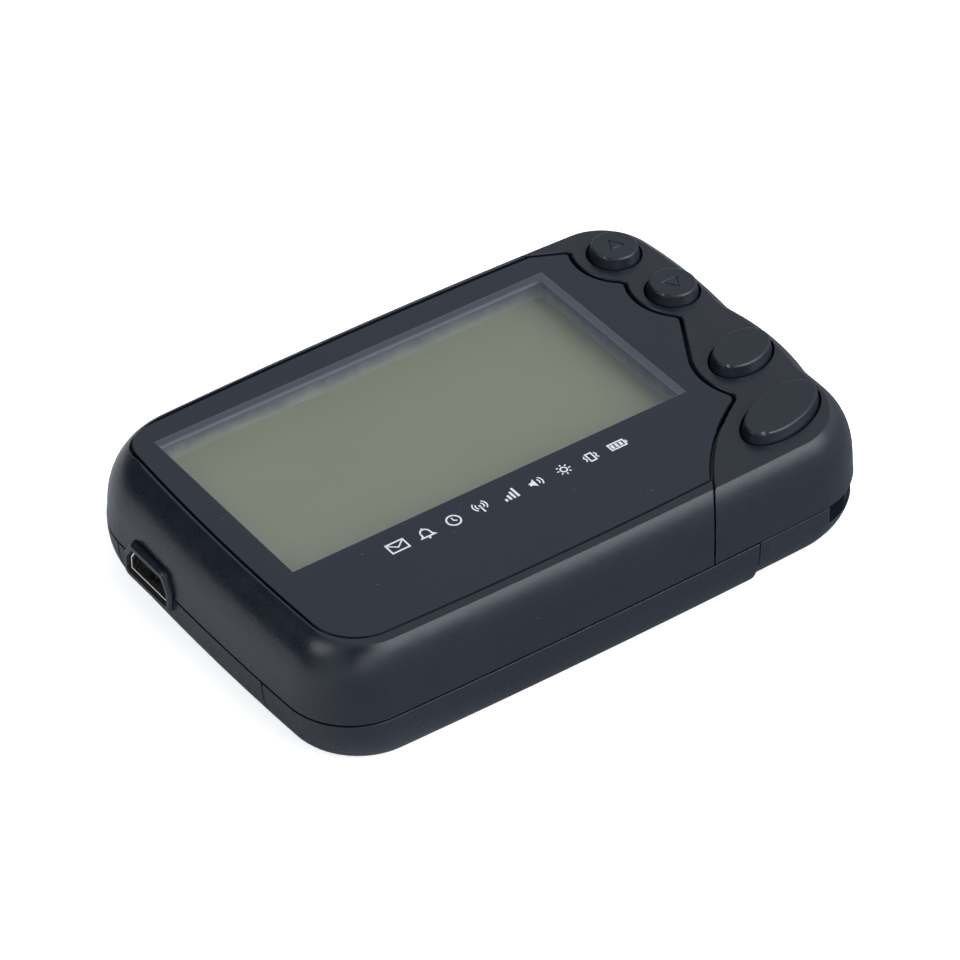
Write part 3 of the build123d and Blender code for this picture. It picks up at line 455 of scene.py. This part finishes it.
def liner_material(foot_z):
    """Grey-blue foam whose colour is painted shade: dark at its head, fading to the tone of the display
    towards its foot like a soft shadow edge, with a faint painted glow.
    """
    look = Look("liner_foam")
    fade_height = 1.9 * MM
    wander = 0.3 * MM
    head_tone = (0.050, 0.053, 0.060)
    foot_tone = (0.178, 0.188, 0.138)
    drift = look.noise(2.4, 3.0, 0.6)
    height = look.math("ADD", look.axis("Z"), look.remap(drift, 0.3, 0.7, -wander, wander))
    # painted shade: the blend from the display tone up to dark grey-blue stands in for the soft edge of
    # the shade under the lens border
    fade = look.remap(height, foot_z, foot_z + fade_height, smooth=True)
    body = look.mix(fade, foot_tone, head_tone)
    look.set(Base_Color=body, Roughness=look.remap(look.noise(0.5), 0.3, 0.7, 0.5, 0.7))
    look.set(Normal=look.bump(look.noise(0.3, 3.0), 0.01))
    # painted light: a faint glow that grows towards the head
    look.set(Emission_Color=LINER_TONE, Emission_Strength=look.math("MULTIPLY", fade, 0.08))
    return look.material


def window_liner():
    """Sloping frame of foam between the lens and the display, on all four sides of the window; its
    colour paints the soft shade along the window's edges.
    """
    foot_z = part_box("lcd_polarizer")[1].z + 0.02 * MM
    top_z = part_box("lens_adhesive")[0].z - 0.03 * MM
    wall = 0.15 * MM
    foot = -0.25 * MM
    head = 0.3 * MM
    radius = 0.6 * MM
    mesh = bmesh.new()
    loops = []
    for spread, z in ((foot, foot_z), (head, top_z), (head + wall, top_z), (foot + wall, foot_z)):
        loops.append(rounded_loop(mesh, WINDOW_LOW, WINDOW_HIGH, spread, z, radius))
    for ring, following in zip(loops, loops[1:] + loops[:1]):
        for i in range(len(ring)):
            j = (i + 1) % len(ring)
            mesh.faces.new([ring[i], ring[j], following[j], following[i]])
    finish_piece(mesh, "window_liner", "case", liner_material(foot_z))


def rounded_loop(mesh, low, high, spread, z, radius, steps=6):
    """Corner points of a rounded rectangle, made larger by an amount."""
    corners = [
        (high.x + spread - radius, high.y + spread - radius, 0),
        (low.x - spread + radius, high.y + spread - radius, 90),
        (low.x - spread + radius, low.y - spread + radius, 180),
        (high.x + spread - radius, low.y - spread + radius, 270),
    ]
    points = []
    for x, y, start in corners:
        for i in range(steps + 1):
            angle = math.radians(start + 90 * i / steps)
            place = (x + radius * math.cos(angle), y + radius * math.sin(angle), z)
            points.append(mesh.verts.new(place))
    return points


def finish_piece(mesh, name, body, material):
    """Turns a bmesh into a named object that moves with a body."""
    bmesh.ops.recalc_face_normals(mesh, faces=mesh.faces)
    data = bpy.data.meshes.new(name)
    mesh.to_mesh(data)
    mesh.free()
    piece = bpy.data.objects.new(name, data)
    bpy.context.scene.collection.objects.link(piece)
    data.materials.append(material)
    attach(piece, body)
    return piece


# ------------------------------------------------------------------ printed pictograms


class Print:
    """Flat marks built as thin raised ink: strokes, discs and filled shapes in a unit square."""

    THICK = 0.02 * MM
    MITRE_LIMIT = 0.35

    def __init__(self, centre, size, z):
        self.mesh = bmesh.new()
        self.centre = centre
        self.size = size
        self.z = z

    def fill(self, points):
        """Filled shape given as its corners in order."""
        corners = []
        for x, y in points:
            place = (self.centre[0] + x * self.size, self.centre[1] + y * self.size, self.z)
            corners.append(self.mesh.verts.new(place))
        face = self.mesh.faces.new(corners)
        if face.normal.z < 0:
            face.normal_flip()
        raised = bmesh.ops.extrude_face_region(self.mesh, geom=[face])
        top = [v for v in raised["geom"] if isinstance(v, bmesh.types.BMVert)]
        bmesh.ops.translate(self.mesh, verts=top, vec=(0, 0, self.THICK))

    def stroke(self, points, width=0.11, closed=False):
        """Line of a width through points, one block for each stretch, mitred at the corners."""
        path = [Vector(p) for p in points]
        count = len(path)
        sides = []
        for i, point in enumerate(path):
            before = path[(i - 1) % count] if closed or i > 0 else None
            after = path[(i + 1) % count] if closed or i < count - 1 else None
            into = (point - before if before is not None else after - point).normalized()
            out = (after - point).normalized() if after is not None else into
            normal = Vector((-(into + out).y, (into + out).x)).normalized()
            spread = width / 2 / max(self.MITRE_LIMIT, normal.dot(Vector((-into.y, into.x))))
            sides.append((point + normal * spread, point - normal * spread))
        for i in range(count if closed else count - 1):
            left, right = sides[i], sides[(i + 1) % count]
            self.fill([left[0], left[1], right[1], right[0]])

    def arc(self, x, y, radius, start, end, width=0.11, steps=10):
        """Curved line about a centre between two angles in degrees."""
        turn = [math.radians(start + (end - start) * i / steps) for i in range(steps + 1)]
        points = [(x + radius * math.cos(a), y + radius * math.sin(a)) for a in turn]
        if abs(end - start) >= 360:
            self.stroke(points[:-1], width, True)
        else:
            self.stroke(points, width)

    def disc(self, x, y, radius, steps=16):
        """Filled round dot."""
        turn = [2 * math.pi * i / steps for i in range(steps)]
        self.fill([(x + radius * math.cos(a), y + radius * math.sin(a)) for a in turn])


def draw_envelope(ink):
    ink.stroke([(-0.62, -0.42), (0.62, -0.42), (0.62, 0.42), (-0.62, 0.42)], closed=True)
    ink.stroke([(-0.58, 0.36), (0.0, -0.10), (0.58, 0.36)], 0.09)


def draw_bell(ink):
    ink.arc(0, 0.06, 0.32, 0, 180)
    side = [(-0.32, 0.08), (-0.34, -0.18), (-0.48, -0.32)]
    ink.stroke(side + [(-x, y) for x, y in reversed(side)])
    ink.disc(0, -0.46, 0.09)
    ink.disc(0, 0.46, 0.07)


def draw_clock(ink):
    ink.arc(0, 0, 0.46, 0, 360, 0.11, 24)
    ink.stroke([(0, 0.28), (0, 0), (0.2, -0.12)], 0.09)


def draw_mast(ink):
    ink.stroke([(0, -0.48), (0, 0.16)])
    ink.disc(0, 0.18, 0.09)
    for side in (0, 180):
        ink.arc(0, 0.18, 0.28, side - 48, side + 48, 0.09, 6)
        ink.arc(0, 0.18, 0.48, side - 48, side + 48, 0.09, 8)


def draw_bars(ink):
    for i in range(4):
        x = -0.5 + 0.29 * i
        top = -0.22 + 0.22 * i
        ink.fill([(x, -0.46), (x + 0.16, -0.46), (x + 0.16, top), (x, top)])


def draw_speaker(ink):
    lower = [(-0.52, -0.14), (-0.34, -0.14), (-0.08, -0.38)]
    ink.fill(lower + [(x, -y) for x, y in reversed(lower)])
    ink.arc(-0.1, 0, 0.3, -42, 42, 0.09, 6)
    ink.arc(-0.1, 0, 0.52, -42, 42, 0.09, 8)


def draw_lamp(ink):
    ink.arc(0, 0, 0.22, 0, 360, 0.1, 16)
    for i in range(8):
        ray = Vector((math.cos(math.pi / 4 * i), math.sin(math.pi / 4 * i)))
        ink.stroke([ray * 0.34, ray * 0.5], 0.09)


def draw_shake(ink):
    ink.stroke([(-0.2, -0.36), (0.2, -0.36), (0.2, 0.36), (-0.2, 0.36)], closed=True)
    for side in (-1, 1):
        wave = [(0.36, 0.28), (0.46, 0.1), (0.36, -0.08), (0.46, -0.26)]
        ink.stroke([(side * x, y) for x, y in wave], 0.09)


def draw_battery(ink):
    ink.stroke([(-0.62, -0.28), (0.5, -0.28), (0.5, 0.28), (-0.62, 0.28)], closed=True)
    ink.fill([(0.58, -0.12), (0.68, -0.12), (0.68, 0.12), (0.58, 0.12)])
    for i in range(3):
        x = -0.5 + 0.31 * i
        ink.fill([(x, -0.17), (x + 0.2, -0.17), (x + 0.2, 0.17), (x, 0.17)])


PICTOGRAMS = {
    "envelope": draw_envelope,
    "bell": draw_bell,
    "clock": draw_clock,
    "mast": draw_mast,
    "bars": draw_bars,
    "speaker": draw_speaker,
    "lamp": draw_lamp,
    "shake": draw_shake,
    "battery": draw_battery,
}


def print_legend():
    """Row of pictograms on the lens, under the window."""
    ink_look = white_ink()
    size = 1.95 * MM
    row_y = WINDOW_LOW.y - 3.35 * MM
    first_x = WINDOW_LOW.x + 12.6 * MM
    pitch = 4.05 * MM
    for i, (name, draw) in enumerate(PICTOGRAMS.items()):
        ink = Print((first_x + pitch * i, row_y), size, LENS_TOP)
        draw(ink)
        piece = finish_piece(ink.mesh, f"legend_{name}", "case", ink_look)


# ------------------------------------------------------------------ studio


# soft areas of the room as the casing mirrors them: direction, strength added to the room,
# and the angles in degrees from that direction where the area is full and where it ends
ROOM_AREAS = (
    ((0.451, -0.637, 0.627), 3.1, 14.0, 42.0),
    ((0.451, 0.626, 0.636), -0.06, 20.0, 50.0),
    ((-0.636, 0.626, 0.451), -0.62, 24.0, 54.0),
    ((-0.30, -0.66, 0.69), -0.62, 18.0, 36.0),
    ((-0.746, 0.190, 0.638), 3.8, 4.0, 17.0),
)
ROOM_BASE = 0.62
ROOM_TINT = (0.88, 0.94, 1.0, 1.0)

# lamps: name, place in metres, width in metres, power in watts
LAMPS = (
    ("key_lamp", (0.35, -0.45, 0.85), 0.5, 2.5),
    ("fill_lamp", (-0.25, -0.75, 0.35), 0.4, 0.6),
)
FLOOR_REACH = 3.0

# camera: direction from the pager in degrees, point aimed at, distance and focal length
CAMERA_AZIMUTH = -35.81
CAMERA_ELEVATION = 39.47
CAMERA_AIM = Vector((-6.04, -7.92, 16.45)) * MM
CAMERA_DISTANCE = 597.5 * MM
CAMERA_LENS = 187.5


def room_area(tree, direction, below, toward, strength, full, end):
    """Adds one soft area to the strength of the room so far."""
    dot = tree.nodes.new("ShaderNodeVectorMath")
    dot.operation = "DOT_PRODUCT"
    tree.links.new(direction, dot.inputs[0])
    dot.inputs[1].default_value = Vector(toward).normalized()
    patch = tree.nodes.new("ShaderNodeMapRange")
    patch.interpolation_type = "SMOOTHSTEP"
    tree.links.new(dot.outputs["Value"], patch.inputs["Value"])
    patch.inputs["From Min"].default_value = math.cos(math.radians(end))
    patch.inputs["From Max"].default_value = math.cos(math.radians(full))
    patch.inputs["To Max"].default_value = strength
    total = tree.nodes.new("ShaderNodeMath")
    total.operation = "ADD"
    tree.links.new(patch.outputs[0], total.inputs[0])
    tree.links.new(below, total.inputs[1])
    return total.outputs[0]


def room():
    """White room to the eye; its lit and dark areas are soft patches in given directions."""
    world = bpy.data.worlds.new("room")
    bpy.context.scene.world = world
    world.use_nodes = True
    tree = world.node_tree
    background = tree.nodes["Background"]
    direction = tree.nodes.new("ShaderNodeTexCoord").outputs["Generated"]
    base = tree.nodes.new("ShaderNodeValue")
    base.outputs[0].default_value = ROOM_BASE
    total = base.outputs[0]
    for area in ROOM_AREAS:
        total = room_area(tree, direction, total, *area)
    seen = tree.nodes.new("ShaderNodeLightPath").outputs["Is Camera Ray"]
    choose = tree.nodes.new("ShaderNodeMix")
    tree.links.new(seen, choose.inputs[0])
    tree.links.new(total, choose.inputs[2])
    choose.inputs[3].default_value = 1.0
    tree.links.new(choose.outputs[0], background.inputs[1])
    tint = tree.nodes.new("ShaderNodeMix")
    tint.data_type = "RGBA"
    tree.links.new(seen, tint.inputs[0])
    tint.inputs[6].default_value = ROOM_TINT
    tint.inputs[7].default_value = (1.0, 1.0, 1.0, 1.0)
    tree.links.new(tint.outputs[2], background.inputs[0])


def floor_material():
    """White paper, faintly lit from below; it mirrors darker in the casing than it looks."""
    look = Look("floor_paper")
    away = (0.58, 0.81)
    dark_until = -15 * MM
    pale_from = 30 * MM
    mirrored = look.node("ShaderNodeLightPath").outputs["Is Glossy Ray"]
    paper = look.mix(look.noise(40.0), (0.88, 0.88, 0.88), (0.92, 0.92, 0.92))
    back = look.math("MULTIPLY", look.axis("Y"), away[1])
    right = look.math("MULTIPLY", look.axis("X"), away[0])
    across = look.math("SUBTRACT", back, right)
    toward_back_left = look.remap(across, dark_until, pale_from)
    dimmed = look.mix(toward_back_left, (0.18, 0.19, 0.21), (0.70, 0.72, 0.75))
    body = look.mix(mirrored, paper, dimmed)
    glow = look.remap(mirrored, 0.0, 1.0, 0.72, 0.0)
    look.set(Base_Color=body, Roughness=0.9, Emission_Color=(1.0, 1.0, 1.0), Emission_Strength=glow)
    return look.material


def floor():
    """Wide sheet of paper at the height of the pager's foot."""
    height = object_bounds()[0][2]
    mesh = bmesh.new()
    corners = []
    for x, y in ((-1, -1), (1, -1), (1, 1), (-1, 1)):
        corners.append(mesh.verts.new((x * FLOOR_REACH, y * FLOOR_REACH, height)))
    mesh.faces.new(corners)
    data = bpy.data.meshes.new("floor")
    mesh.to_mesh(data)
    mesh.free()
    data.materials.append(floor_material())
    sheet = bpy.data.objects.new("floor", data)
    bpy.context.scene.collection.objects.link(sheet)
    sheet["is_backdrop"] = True


def lamps():
    """Square soft lamps aimed at the pager."""
    for name, place, size, watts in LAMPS:
        light = bpy.data.lights.new(name, "AREA")
        light.shape = "RECTANGLE"
        light.size = size
        light.size_y = size
        light.energy = watts
        lamp = bpy.data.objects.new(name, light)
        lamp.location = place
        lamp.rotation_euler = (-Vector(place)).to_track_quat("-Z", "Y").to_euler()
        bpy.context.scene.collection.objects.link(lamp)


def camera():
    """Long lens, front left of the pager and above it."""
    azimuth = math.radians(CAMERA_AZIMUTH)
    elevation = math.radians(CAMERA_ELEVATION)
    back = Vector((
        math.sin(azimuth) * math.cos(elevation),
        -math.cos(azimuth) * math.cos(elevation),
        math.sin(elevation),
    ))
    data = bpy.data.cameras.new("camera")
    data.sensor_width = 36.0
    data.lens = CAMERA_LENS
    data.clip_end = 20.0
    holder = bpy.data.objects.new("camera", data)
    holder.location = CAMERA_AIM + back * CAMERA_DISTANCE
    holder.rotation_euler = back.to_track_quat("Z", "Y").to_euler()
    bpy.context.scene.collection.objects.link(holder)
    bpy.context.scene.camera = holder


dress_nodes()
window_liner()
print_legend()
room()
floor()
lamps()
camera()
bpy.context.scene.view_settings.view_transform = "Standard"
